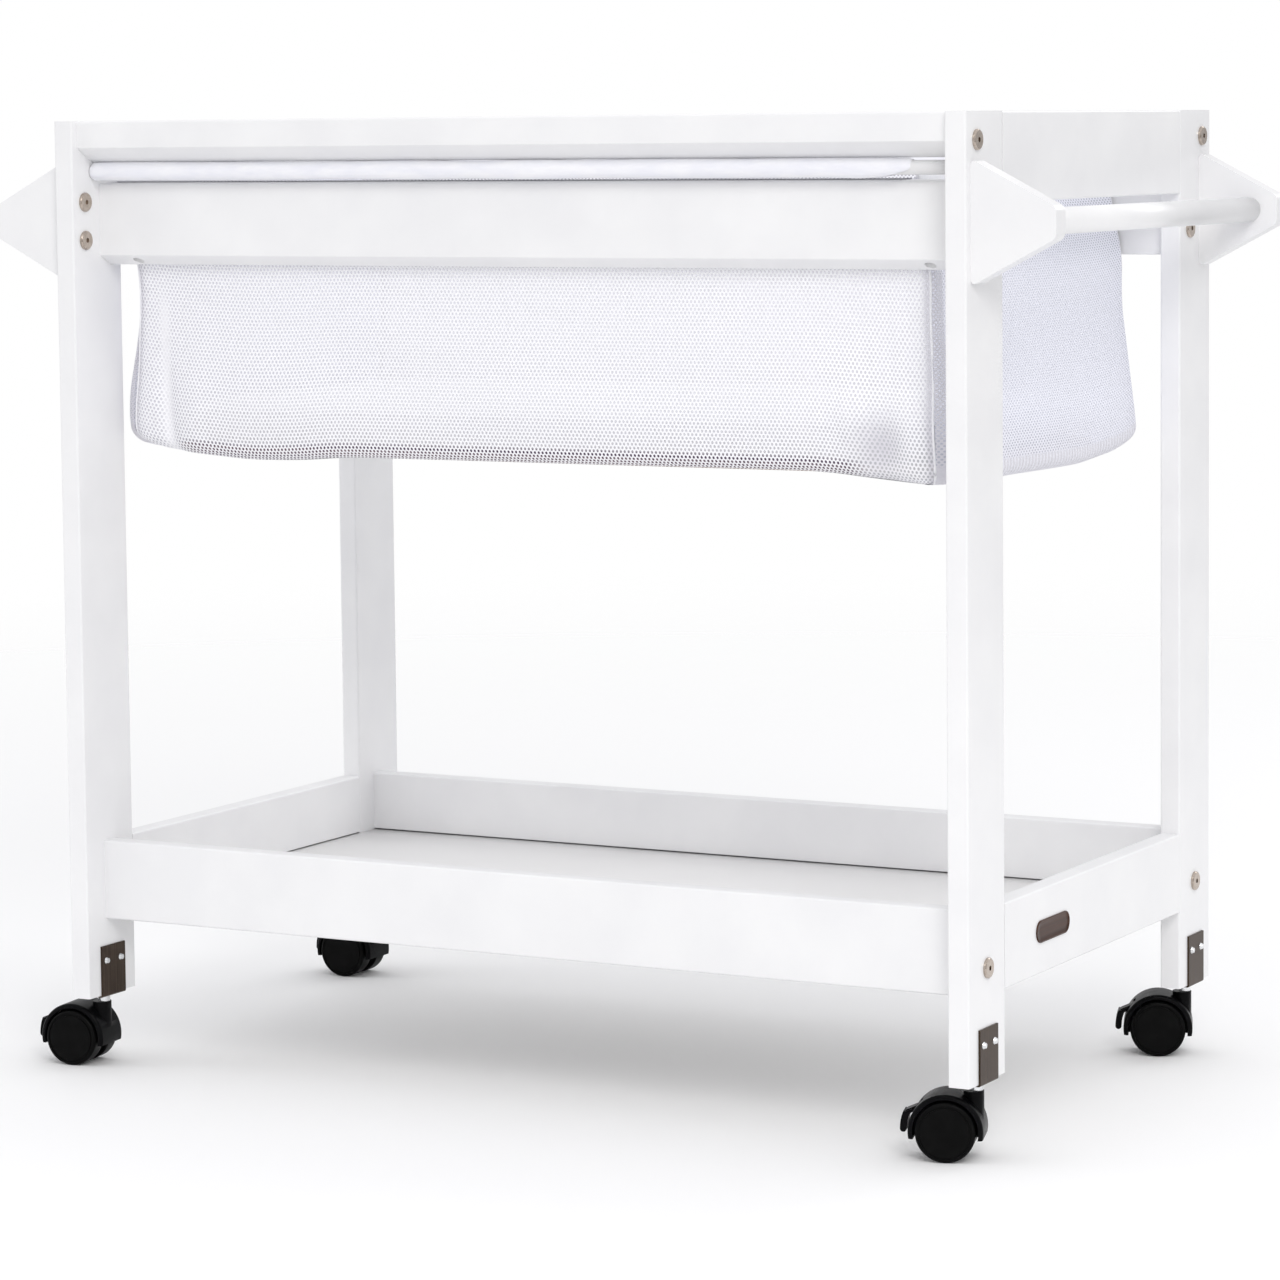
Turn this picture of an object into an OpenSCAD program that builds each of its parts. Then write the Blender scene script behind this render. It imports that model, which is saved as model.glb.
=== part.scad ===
// Bassinet on a wheeled stand: painted boards, a mesh basket hung on two rods,
// a tray under it, push handles at both ends and four braked twin-wheel castors.
// X runs along the stand, Y from front to back, Z up; the floor is Z = 0.

/* [Stand] */
// Length over the legs
frame_len = 886; // [800:1:1000]
// Depth over the legs
frame_dep = 537; // [480:1:620]
// Height of the leg tops
frame_top = 855; // [800:1:950]
// Thickness of every board
board_t = 19; // [16:1:22]
// Width of a leg
leg_w = 73; // [70:1:85]

/* [Rails] */
// Height of the end aprons
apron_h = 74; // [60:1:90]
// Height of the top rail's front face
top_rail_h = 24; // [20:1:30]
// How far the top rail's underside slopes down to its back
top_rail_drop = 14; // [0:1:16]
// Top of the lower rails
lower_rail_top = 800; // [780:1:800]
// Underside of the lower rails
lower_rail_bottom = 725.5; // [700:0.5:740]

/* [Tray] */
// Top of the tray rails
tray_top = 206.5; // [190:0.5:260]
// Underside of the tray rails
tray_bottom = 135; // [120:0.5:140]
// Thickness of the tray's floor panel
tray_floor_t = 6; // [4:0.5:9]

/* [Handles] */
// How far the handle brackets stand out
bracket_reach = 74; // [70:1:90]
// Bracket's height where it meets the leg
bracket_h = 102; // [90:1:110]
// Height of the handle bar's axis
handle_z = 766; // [750:1:780]
// Diameter of the handle bar
bar_d = 22; // [18:1:26]

/* [Basket] */
// Length of the basket at its top edge
basket_top_len = 786; // [700:1:800]
// Length of the basket at its bottom
basket_bottom_len = 820; // [780:1:830]
// Underside of the basket
basket_bottom = 555; // [520:1:600]
// How far the basket sits towards the left end
basket_shift = 6.5; // [0:0.5:15]
// Thickness of the mattress
mattress_t = 40; // [25:1:60]

/* [Castors] */
// Diameter of the castor wheels
wheel_d = 50; // [50:1:50]
// Distance from the stem to the wheels' axle
trail = 24; // [22:1:26]
// Swivel angle of the left front castor
swivel_left_front = 187; // [0:1:360]
// Swivel angle of the left back castor
swivel_left_back = 180; // [0:1:360]
// Swivel angle of the right front castor
swivel_right_front = 197.5; // [0:0.5:360]
// Swivel angle of the right back castor
swivel_right_back = 201; // [0:1:360]

/* [Hidden] */
$fn = 48;

eps = 0.5;
edge_r = 2;
half_len = frame_len / 2;
half_dep = frame_dep / 2;
inner_len = frame_len - 2 * board_t;
inner_dep = frame_dep - 2 * leg_w;
leg_bottom = 65.5;
leg_x = half_len - board_t / 2;
leg_y = half_dep - leg_w / 2;

// Board positions, measured back from the stand's front or back edge
top_rail_face = 7.5;
top_rail_d = 26.5;
lower_rail_face = 40.5;
tray_rail_face = 27.5;
bracket_face = 8.5;
lower_rail_drop = 9.5;
groove_deep = 6;
groove_gap = 1.2;
tray_floor_z = 144;

// Connector bolts: [distance from the outer edge, height]
rail_bolts = [[21, 832], [50, 750], [37, 159]];
handle_bolt_y = 18;
handle_bolt_pitch = 34;
handle_bolts = [for (s = [-1, 1]) [handle_bolt_y, handle_z + s * handle_bolt_pitch / 2]];
bolt_head_r = 8.5;
bolt_head_t = 2.6;
bolt_r = 3;
bolt_hole_r = 3.25;
bolt_len = 58;
socket_af = 4;
nut_r = 5;
nut_l = 10;
rail_nut_in = 35;
dowel_r = 4;
dowel_l = 30;
dowel_in_leg = 12;
apron_dowels = [798, 838];
tray_end_dowels = [152, 190];
long_rail_dowels = [[50, 780], [37, 188]];

// Handles
bracket_end_h = 25;
bracket_end_r = 8;
bracket_heel_r = 3;
bar_reach = 47.5;
tenon_r = 7;
tenon_l = 12;

// Rods and basket
rod_r = 6;
rod_y = half_dep - 31.5;
rod_z = 810;
rod_socket = 6;
sleeve_r = 8;
sleeve_right = 377;
fabric_t = 3;
flap_z = 800.4;
basket_half_dep = half_dep - lower_rail_face - board_t - 0.8;
base_t = 5;
base_len = 764;
base_dep = 402;
mattress_len = 770;
mattress_dep = 404;
corner_r = 60;
lay_gap = 0.3;

// Saddles round the feet
saddle_t = 1.8;
saddle_w = 36;
saddle_top = 110.5;
saddle_screw_z = 97;
saddle_screw_y = 11;
screw_r = 1.6;
screw_head_r = 3.2;
screw_head_t = 2;
screw_l = 8;
stem_r = 4;
collar_r = 5.2;
collar_bottom = 57.5;
insert_r = 5.5;
insert_l = 15;
stem_up = 30;
pivot_r = 3.5;
pivot_bottom = 40;

// Castors
wheel_r = wheel_d / 2;
wheel_w = 16.2;
wheel_gap = 5.6;
axle_r = 3;
run_fit = 0.05;
hood_r = 31.2;
hood_bore = 27.2;
hood_w = 40;
hood_edge = 3;
hood_foot = 19;
web_half = 5.2;
neck_r = 8.5;
neck_x = 2.5;
neck_top = 57.2;
hinge_angle = 40;
hinge_r = 29.2;
trunnion_r = 1.5;
lever_half = 8;
lever_hub_half = 5.8;
lever_slot_half = 6.4;

// The castor hood that reaches furthest forward sets the middle of the whole box
function front_reach(a) = -leg_y + trail * sin(a) - hood_edge
  - (hood_r - hood_edge) * abs(sin(a)) - (hood_w / 2 - hood_edge) * abs(cos(a));
overhang = max(0, -half_dep - min(front_reach(swivel_left_front), front_reach(swivel_right_front)));
shift_y = overhang / 2;

// A convex outline with every corner rounded to its own radius
function unit(v) = v / norm(v);
function corner_a(p, r, i) = let (n = len(p), q = unit(p[(i + n - 1) % n] - p[i]), s = unit(p[(i + 1) % n] - p[i]))
  p[i] + q * r[i] / tan(acos(q * s) / 2);
function corner_b(p, r, i) = let (n = len(p), q = unit(p[(i + n - 1) % n] - p[i]), s = unit(p[(i + 1) % n] - p[i]))
  p[i] + s * r[i] / tan(acos(q * s) / 2);
function corner_c(p, r, i) = let (n = len(p), q = unit(p[(i + n - 1) % n] - p[i]), s = unit(p[(i + 1) % n] - p[i]))
  p[i] + unit(q + s) * r[i] / sin(acos(q * s) / 2);
module rounded(p, r) {
  polygon([for (i = [0 : len(p) - 1], k = [0, 1]) k == 0 ? corner_a(p, r, i) : corner_b(p, r, i)]);
  for (i = [0 : len(p) - 1]) translate(corner_c(p, r, i)) circle(r[i]);
}
function box_points(w, h) = [[-w / 2, -h / 2], [w / 2, -h / 2], [w / 2, h / 2], [-w / 2, h / 2]];
module round_rect(w, h, r) rounded(box_points(w, h), [r, r, r, r]);

// A YZ outline carried along X, about the middle
module along_x(length) rotate([90, 0, 90]) linear_extrude(length, center = true) children();
// An XZ outline carried along Y, about the middle
module along_y(length) rotate([90, 0, 0]) linear_extrude(length, center = true) children();
// A rod along X or Y, about the middle
module rod_x(r, l) rotate([0, 90, 0]) cylinder(r = r, h = l, center = true);
module rod_y(r, l) rotate([90, 0, 0]) cylinder(r = r, h = l, center = true);

// Places the whole stand so that its box is centred on the origin
module placed() translate([0, shift_y, 0]) children();
// Turns a piece drawn for the right front corner to another corner
module corner(sx, sy) mirror([sx < 0 ? 1 : 0, 0, 0]) mirror([0, sy > 0 ? 1 : 0, 0]) children();

// ---- Legs ----
// Drawn for the right front corner: X is the outer face side, -Y the front edge
module leg_board() {
  difference() {
    translate([leg_x, -leg_y, leg_bottom])
      linear_extrude(frame_top - leg_bottom) round_rect(board_t, leg_w, edge_r);
    for (b = concat(rail_bolts, handle_bolts))
      translate([leg_x, b[0] - half_dep, b[1]]) rod_x(bolt_hole_r, board_t + 2);
    translate([half_len - board_t, -rod_y, rod_z]) rod_x(rod_r + run_fit, 2 * rod_socket);
    for (z = concat(apron_dowels, tray_end_dowels))
      translate([leg_x, -leg_y + leg_w / 2, z]) rod_y(dowel_r, 2 * dowel_l / 2);
    for (d = long_rail_dowels)
      translate([half_len - board_t, d[0] - half_dep, d[1]]) rod_x(dowel_r, 2 * dowel_in_leg);
    translate([leg_x, -leg_y, leg_bottom]) {
      translate([0, 0, -1]) cylinder(r = insert_r, h = insert_l + 1);
      cylinder(r = stem_r, h = stem_up + 1);
    }
    for (s = [-1, 1], y = [-1, 1])
      translate([leg_x + s * board_t / 2, -leg_y + y * saddle_screw_y, saddle_screw_z]) rod_x(screw_r, 2 * screw_l);
  }
}
module leg_left_front() { color("white") placed() corner(-1, -1) leg_board(); }
module leg_left_back() { color("white") placed() corner(-1, 1) leg_board(); }
module leg_right_front() { color("white") placed() corner(1, -1) leg_board(); }
module leg_right_back() { color("white") placed() corner(1, 1) leg_board(); }

// ---- Long rails ----
// Bolt hole, barrel nut hole and dowel hole at both ends of a long rail
module rail_end_holes(bolt, nut_dir, nut_depth) {
  for (s = [-1, 1]) {
    translate([s * inner_len / 2, bolt[0] - half_dep, bolt[1]]) rod_x(bolt_hole_r, 2 * (bolt_len - board_t + 4));
    translate([s * (inner_len / 2 - rail_nut_in), bolt[0] - half_dep, bolt[1]])
      rotate(nut_dir) translate([0, 0, -nut_l / 2]) cylinder(r = nut_r, h = nut_depth);
  }
}
module rail_dowel_holes(d)
  for (s = [-1, 1]) translate([s * inner_len / 2, d[0] - half_dep, d[1]]) rod_x(dowel_r, 2 * (dowel_l - dowel_in_leg));
module top_rail() {
  face = top_rail_face - half_dep;
  back = face + top_rail_d;
  low = frame_top - top_rail_h;
  difference() {
    along_x(inner_len)
      rounded([[face, low], [back, low - top_rail_drop], [back, frame_top], [face, frame_top]], [1.5, 1.5, edge_r, edge_r]);
    rail_end_holes(rail_bolts[0], [-90, 0, 0], 30);
  }
}
module lower_rail() {
  face = lower_rail_face - half_dep;
  back = face + board_t;
  difference() {
    along_x(inner_len)
      rounded([[face, lower_rail_bottom + lower_rail_drop], [back, lower_rail_bottom], [back, lower_rail_top],
        [face, lower_rail_top]], [1.5, 1.5, edge_r, 3]);
    rail_end_holes(rail_bolts[1], [180, 0, 0], 40);
    rail_dowel_holes(long_rail_dowels[0]);
  }
}
module tray_rail() {
  face = tray_rail_face - half_dep;
  back = face + board_t;
  difference() {
    along_x(inner_len)
      rounded([[face, tray_bottom], [back, tray_bottom], [back, tray_top], [face, tray_top]],
        [edge_r, edge_r, edge_r, edge_r]);
    translate([-half_len, back - groove_deep, tray_floor_z])
      cube([frame_len, groove_deep + 1, tray_floor_t + groove_gap]);
    rail_end_holes(rail_bolts[2], [180, 0, 0], 40);
    rail_dowel_holes(long_rail_dowels[1]);
  }
}
module top_rail_front() { color("white") placed() top_rail(); }
module top_rail_back() { color("white") placed() mirror([0, 1, 0]) top_rail(); }
module lower_rail_front() { color("white") placed() lower_rail(); }
module lower_rail_back() { color("white") placed() mirror([0, 1, 0]) lower_rail(); }
module tray_rail_front() { color("white") placed() tray_rail(); }
module tray_rail_back() { color("white") placed() mirror([0, 1, 0]) tray_rail(); }

// ---- End boards and tray floor ----
module end_board(z0, z1, dowels, grooved) {
  difference() {
    translate([leg_x, 0, (z0 + z1) / 2]) along_y(inner_dep) round_rect(board_t, z1 - z0, edge_r);
    for (s = [-1, 1], z = dowels) translate([leg_x, s * inner_dep / 2, z]) rod_y(dowel_r, dowel_l);
    if (grooved) translate([half_len - board_t - 1, -half_dep, tray_floor_z])
      cube([groove_deep + 1, frame_dep, tray_floor_t + groove_gap]);
  }
}
module end_apron_left() { color("white") placed() corner(-1, -1) end_board(frame_top - apron_h, frame_top, apron_dowels, false); }
module end_apron_right() { color("white") placed() end_board(frame_top - apron_h, frame_top, apron_dowels, false); }
module tray_end_left() { color("white") placed() corner(-1, -1) end_board(tray_bottom, tray_top, tray_end_dowels, true); }
module tray_end_right() { color("white") placed() end_board(tray_bottom, tray_top, tray_end_dowels, true); }
module tray_floor() {
  wide = frame_dep - 2 * (tray_rail_face + board_t - groove_deep) - 1;
  color("gainsboro") placed() translate([0, 0, tray_floor_z]) linear_extrude(tray_floor_t) {
    square([inner_len - 0.6, wide], center = true);
    square([inner_len + 2 * groove_deep - 1, inner_dep - 0.6], center = true);
  }
}

// ---- Handles ----
module handle_bracket() {
  outline = [[0, -bracket_h / 2], [bracket_reach, -bracket_end_h / 2], [bracket_reach, bracket_end_h / 2], [0, bracket_h / 2]];
  y = -half_dep + bracket_face + board_t / 2;
  difference() {
    translate([half_len, y, handle_z]) along_y(board_t)
      rounded(outline, [bracket_heel_r, bracket_end_r, bracket_end_r, bracket_heel_r]);
    translate([half_len + bar_reach, y + board_t / 2, handle_z]) rod_y(tenon_r, 2 * tenon_l);
    for (b = handle_bolts) {
      translate([half_len, y, b[1]]) rod_x(bolt_hole_r, 2 * (bolt_len - board_t + 2));
      translate([half_len, y, b[1]]) rod_x(insert_r, 2 * insert_l);
    }
  }
}
module handle_bar() {
  span = frame_dep - 2 * (bracket_face + board_t);
  translate([half_len + bar_reach, 0, handle_z]) {
    rod_y(bar_d / 2, span);
    rod_y(tenon_r, span + 2 * tenon_l - eps);
  }
}
module handle_bracket_left_front() { color("white") placed() corner(-1, -1) handle_bracket(); }
module handle_bracket_left_back() { color("white") placed() corner(-1, 1) handle_bracket(); }
module handle_bracket_right_front() { color("white") placed() corner(1, -1) handle_bracket(); }
module handle_bracket_right_back() { color("white") placed() corner(1, 1) handle_bracket(); }
module handle_bar_left() { color("white") placed() corner(-1, -1) handle_bar(); }
module handle_bar_right() { color("white") placed() handle_bar(); }

// ---- Fasteners ----
// A furniture bolt along +X: flat chamfered head behind the origin, shank in front
module connector_bolt() {
  rotate([0, 90, 0]) difference() {
    union() {
      translate([0, 0, -bolt_head_t]) cylinder(r1 = bolt_head_r - 0.9, r2 = bolt_head_r, h = 0.9);
      translate([0, 0, 0.9 - bolt_head_t]) cylinder(r = bolt_head_r, h = bolt_head_t - 0.9);
      cylinder(r = bolt_r, h = bolt_len);
    }
    translate([0, 0, -bolt_head_t - 1]) cylinder(d = socket_af / cos(30), h = 3, $fn = 6);
  }
}
module connector_bolts() {
  color("silver") placed() for (sx = [-1, 1], sy = [-1, 1]) corner(sx, sy) {
    for (b = rail_bolts) translate([half_len, b[0] - half_dep, b[1]]) mirror([1, 0, 0]) connector_bolt();
    for (b = handle_bolts) translate([half_len - board_t, b[0] - half_dep, b[1]]) connector_bolt();
  }
}
module barrel_nut() difference() {
  cylinder(r = nut_r, h = nut_l, center = true);
  rod_x(bolt_r, 3 * nut_r);
}
module barrel_nuts() {
  color("silver") placed() for (sx = [-1, 1], sy = [-1, 1]) corner(sx, sy) {
    for (i = [0 : len(rail_bolts) - 1])
      translate([inner_len / 2 - rail_nut_in, rail_bolts[i][0] - half_dep, rail_bolts[i][1]])
        rotate(i == 0 ? [90, 0, 0] : [0, 0, 0]) barrel_nut();
  }
}
module wood_dowels() {
  color("burlywood") placed() for (sx = [-1, 1], sy = [-1, 1]) corner(sx, sy) {
    for (z = concat(apron_dowels, tray_end_dowels)) translate([leg_x, -inner_dep / 2, z]) rod_y(dowel_r, dowel_l - eps);
    for (d = long_rail_dowels) translate([inner_len / 2 + dowel_in_leg - dowel_l / 2, d[0] - half_dep, d[1]])
      rod_x(dowel_r, dowel_l - eps);
  }
}
module badge_plate() {
  badge_len = 70;
  badge_h = 19;
  badge_t = 1.2;
  badge_y = -96.5;
  color("gray") placed() translate([half_len + badge_t / 2, badge_y, (tray_top + tray_bottom) / 2])
    along_x(badge_t) {
      square([badge_len - badge_h, badge_h], center = true);
      for (s = [-1, 1]) translate([s * (badge_len - badge_h) / 2, 0]) circle(d = badge_h);
    }
}

// ---- Rods, basket, mattress ----
module hanging_rod() translate([0, -rod_y, rod_z]) rod_x(rod_r, inner_len + 2 * rod_socket - eps);
module rod_front() { color("white") placed() hanging_rod(); }
module rod_back() { color("white") placed() mirror([0, 1, 0]) hanging_rod(); }
// Basket sides in XZ, as wide at the bottom as the mattress needs
module basket_outline(wall) {
  z0 = basket_bottom + wall;
  top = basket_top_len / 2 - wall;
  low = basket_bottom_len / 2 - wall;
  polygon([[-low, z0], [low, z0], [top, flap_z + fabric_t + wall], [-top, flap_z + fabric_t + wall]]);
}
module basket_sleeve() {
  left = -inner_len / 2 + basket_shift + 1;
  right = sleeve_right + basket_shift;
  translate([(left + right) / 2, -rod_y, rod_z]) difference() {
    rod_x(sleeve_r, right - left);
    rod_x(rod_r + 0.2, right - left + 2);
  }
  difference() {
    translate([-basket_top_len / 2, -rod_y, flap_z]) cube([basket_top_len, rod_y - basket_half_dep + 1, fabric_t]);
    translate([0, -rod_y, rod_z]) rod_x(rod_r + 0.2, frame_len);
  }
}
module mesh_basket() {
  color("aliceblue") placed() translate([-basket_shift, 0, 0]) {
    difference() {
      along_y(2 * basket_half_dep) basket_outline(0);
      along_y(2 * (basket_half_dep - fabric_t)) basket_outline(fabric_t);
    }
    basket_sleeve();
    mirror([0, 1, 0]) basket_sleeve();
  }
}
module base_board() {
  color("saddlebrown") placed() translate([-basket_shift, 0, basket_bottom + fabric_t + lay_gap])
    linear_extrude(base_t) round_rect(base_len, base_dep, corner_r);
}
module mattress() {
  color("white") placed() translate([-basket_shift, 0, basket_bottom + fabric_t + base_t + 2 * lay_gap])
    linear_extrude(mattress_t) round_rect(mattress_len, mattress_dep, corner_r);
}

// ---- Saddles, screws and stems ----
// Drawn about the middle of a leg's foot
module at_foot(sx, sy) translate([sx * leg_x, sy * leg_y, 0]) children();
module saddle() {
  out = board_t / 2 + saddle_t;
  difference() {
    translate([0, 0, leg_bottom - saddle_t]) along_y(saddle_w)
      rounded([[-out, 0], [out, 0], [out, saddle_top - leg_bottom + saddle_t], [-out, saddle_top - leg_bottom + saddle_t]],
        [saddle_t, saddle_t, 0.6, 0.6]);
    translate([0, 0, leg_bottom + 50]) cube([board_t, saddle_w + 2, 100], center = true);
    translate([0, 0, leg_bottom - 2 * saddle_t]) cylinder(r = stem_r + 0.1, h = 3 * saddle_t);
    for (y = [-1, 1]) translate([0, y * saddle_screw_y, saddle_screw_z]) rod_x(screw_r, board_t + 20);
  }
}
module saddle_left_front() { color("dimgray") placed() at_foot(-1, -1) saddle(); }
module saddle_left_back() { color("dimgray") placed() at_foot(-1, 1) saddle(); }
module saddle_right_front() { color("dimgray") placed() at_foot(1, -1) saddle(); }
module saddle_right_back() { color("dimgray") placed() at_foot(1, 1) saddle(); }
module small_screw() rotate([0, 90, 0]) {
  translate([0, 0, -screw_head_t]) cylinder(r1 = screw_head_r * 0.7, r2 = screw_head_r, h = screw_head_t);
  cylinder(r = screw_r, h = screw_l + saddle_t);
}
module saddle_screws() {
  color("silver") placed() for (sx = [-1, 1], sy = [-1, 1]) at_foot(sx, sy) for (side = [0, 1], y = [-1, 1])
    mirror([side, 0, 0]) translate([-board_t / 2 - saddle_t, y * saddle_screw_y, saddle_screw_z]) small_screw();
}
module threaded_insert(bore) difference() {
  cylinder(r = insert_r, h = insert_l);
  translate([0, 0, -1]) cylinder(r = bore, h = insert_l + 2);
}
module threaded_inserts() {
  color("goldenrod") placed() for (sx = [-1, 1], sy = [-1, 1]) {
    at_foot(sx, sy) translate([0, 0, leg_bottom]) threaded_insert(stem_r);
    corner(sx, sy) for (b = handle_bolts)
      translate([half_len, b[0] - half_dep, b[1]]) rotate([0, 90, 0]) threaded_insert(bolt_r);
  }
}
module stem() {
  translate([0, 0, pivot_bottom]) cylinder(r = pivot_r, h = collar_bottom - pivot_bottom);
  translate([0, 0, collar_bottom]) cylinder(r = collar_r, h = leg_bottom - saddle_t - collar_bottom);
  translate([0, 0, leg_bottom - saddle_t]) cylinder(r = stem_r, h = stem_up + saddle_t);
}
module stem_left_front() { color("silver") placed() at_foot(-1, -1) stem(); }
module stem_left_back() { color("silver") placed() at_foot(-1, 1) stem(); }
module stem_right_front() { color("silver") placed() at_foot(1, -1) stem(); }
module stem_right_back() { color("silver") placed() at_foot(1, 1) stem(); }

// ---- Castors ----
// Drawn with the stem on the Z axis and the wheels trailing along +X
module castor_at(sx, sy, angle) at_foot(sx, sy) rotate([0, 0, angle]) children();
module at_axle() translate([trail, 0, wheel_r]) children();
module castor_hood() {
  half = hood_w / 2;
  difference() {
    union() {
      at_axle() rotate([90, 0, 0]) rotate_extrude($fn = 96) intersection() {
        round_rect(2 * hood_r, hood_w, hood_edge);
        translate([0, -half]) square([hood_r, hood_w]);
      }
      translate([neck_x, 0, wheel_r]) cylinder(r = neck_r, h = neck_top - wheel_r);
    }
    at_axle() for (s = [-1, 1]) translate([0, s * (web_half + half), 0]) rod_y(hood_bore, 2 * half);
    at_axle() rod_y(axle_r, hood_w);
    translate([trail, 0, hood_foot - 50]) cube([100, 100, 100], center = true);
    translate([0, 0, pivot_bottom - 1]) cylinder(r = pivot_r + run_fit, h = 40);
    at_axle() rotate([0, -hinge_angle, 0]) translate([hinge_r, 0, 0]) {
      translate([2, 0, -2.5]) cube([10, 2 * lever_slot_half, 15], center = true);
      rod_y(trunnion_r + run_fit, 20);
    }
  }
}
module axle() at_axle() rod_y(axle_r, 2 * (wheel_gap + wheel_w) - 10);
// One wheel: rounded tread, a sunk ring near the rim and a slightly sunk hub disc
module castor_wheel(side) {
  face = wheel_gap + wheel_w;
  at_axle() rotate([-90, 0, 0]) mirror([0, 0, side > 0 ? 0 : 1]) difference() {
    rotate_extrude($fn = 96) intersection() {
      rounded([[-wheel_r, wheel_gap], [wheel_r, wheel_gap], [wheel_r, face], [-wheel_r, face]], [1.5, 1.5, 2.5, 2.5]);
      translate([0, wheel_gap]) square([wheel_r, wheel_w]);
    }
    translate([0, 0, face - 0.8]) difference() {
      cylinder(r = wheel_r - 3, h = 2);
      translate([0, 0, -1]) cylinder(r = wheel_r - 4.4, h = 4);
    }
    translate([0, 0, wheel_gap - 1]) cylinder(r = axle_r + run_fit, h = wheel_w - 3);
  }
}
// Hooked foot lever that hinges on two stub pins in the front of the hood
module brake_lever() {
  at_axle() {
    difference() {
      along_y(2 * lever_half) intersection() {
        difference() {
          circle(r = 38.6);
          circle(r = 33);
        }
        polygon([[20, 0], [60, 0], [60, 20], [33.8, 14.2], [20, 20]]);
      }
      for (s = [-1, 1]) translate([33, s * (lever_half + 5), 0]) cube([40, 10, 60], center = true);
    }
    along_y(2 * lever_half) translate([35.8, 0]) circle(r = 2.8);
    along_y(2 * lever_hub_half) polygon([[21.2, 20.6], [23.4, 16.7], [33, 10.5], [36.2, 11.6], [33.4, 15.4]]);
    rotate([0, -hinge_angle, 0]) translate([hinge_r, 0, 0]) {
      rod_y(2.3, 2 * lever_hub_half);
      rod_y(trunnion_r, 18);
    }
  }
}
module castor_hood_left_front() { color("black") placed() castor_at(-1, -1, swivel_left_front) castor_hood(); }
module castor_hood_left_back() { color("black") placed() castor_at(-1, 1, swivel_left_back) castor_hood(); }
module castor_hood_right_front() { color("black") placed() castor_at(1, -1, swivel_right_front) castor_hood(); }
module castor_hood_right_back() { color("black") placed() castor_at(1, 1, swivel_right_back) castor_hood(); }
module axle_left_front() { color("silver") placed() castor_at(-1, -1, swivel_left_front) axle(); }
module axle_left_back() { color("silver") placed() castor_at(-1, 1, swivel_left_back) axle(); }
module axle_right_front() { color("silver") placed() castor_at(1, -1, swivel_right_front) axle(); }
module axle_right_back() { color("silver") placed() castor_at(1, 1, swivel_right_back) axle(); }
module inner_wheel_left_front() { color("black") placed() castor_at(-1, -1, swivel_left_front) castor_wheel(-1); }
module inner_wheel_left_back() { color("black") placed() castor_at(-1, 1, swivel_left_back) castor_wheel(-1); }
module inner_wheel_right_front() { color("black") placed() castor_at(1, -1, swivel_right_front) castor_wheel(-1); }
module inner_wheel_right_back() { color("black") placed() castor_at(1, 1, swivel_right_back) castor_wheel(-1); }
module outer_wheel_left_front() { color("black") placed() castor_at(-1, -1, swivel_left_front) castor_wheel(1); }
module outer_wheel_left_back() { color("black") placed() castor_at(-1, 1, swivel_left_back) castor_wheel(1); }
module outer_wheel_right_front() { color("black") placed() castor_at(1, -1, swivel_right_front) castor_wheel(1); }
module outer_wheel_right_back() { color("black") placed() castor_at(1, 1, swivel_right_back) castor_wheel(1); }
module brake_lever_left_front() { color("black") placed() castor_at(-1, -1, swivel_left_front) brake_lever(); }
module brake_lever_left_back() { color("black") placed() castor_at(-1, 1, swivel_left_back) brake_lever(); }
module brake_lever_right_front() { color("black") placed() castor_at(1, -1, swivel_right_front) brake_lever(); }
module brake_lever_right_back() { color("black") placed() castor_at(1, 1, swivel_right_back) brake_lever(); }

leg_left_front();
leg_left_back();
leg_right_front();
leg_right_back();
top_rail_front();
top_rail_back();
lower_rail_front();
lower_rail_back();
end_apron_left();
end_apron_right();
tray_rail_front();
tray_rail_back();
tray_end_left();
tray_end_right();
tray_floor();
handle_bracket_left_front();
handle_bracket_left_back();
handle_bracket_right_front();
handle_bracket_right_back();
handle_bar_left();
handle_bar_right();
connector_bolts();
barrel_nuts();
wood_dowels();
badge_plate();
rod_front();
rod_back();
mesh_basket();
base_board();
mattress();
saddle_left_front();
saddle_left_back();
saddle_right_front();
saddle_right_back();
saddle_screws();
threaded_inserts();
stem_left_front();
stem_left_back();
stem_right_front();
stem_right_back();
castor_hood_left_front();
castor_hood_left_back();
castor_hood_right_front();
castor_hood_right_back();
axle_left_front();
axle_left_back();
axle_right_front();
axle_right_back();
inner_wheel_left_front();
inner_wheel_left_back();
inner_wheel_right_front();
inner_wheel_right_back();
outer_wheel_left_front();
outer_wheel_left_back();
outer_wheel_right_front();
outer_wheel_right_back();
brake_lever_left_front();
brake_lever_left_back();
brake_lever_right_front();
brake_lever_right_back();
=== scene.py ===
"""Looks for a bassinet on a wheeled stand: white boards, a mesh basket on two rods, four black castors."""

import math

import bpy
import numpy as np
from mathutils import Matrix, Vector
from mathutils.bvhtree import BVHTree


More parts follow.
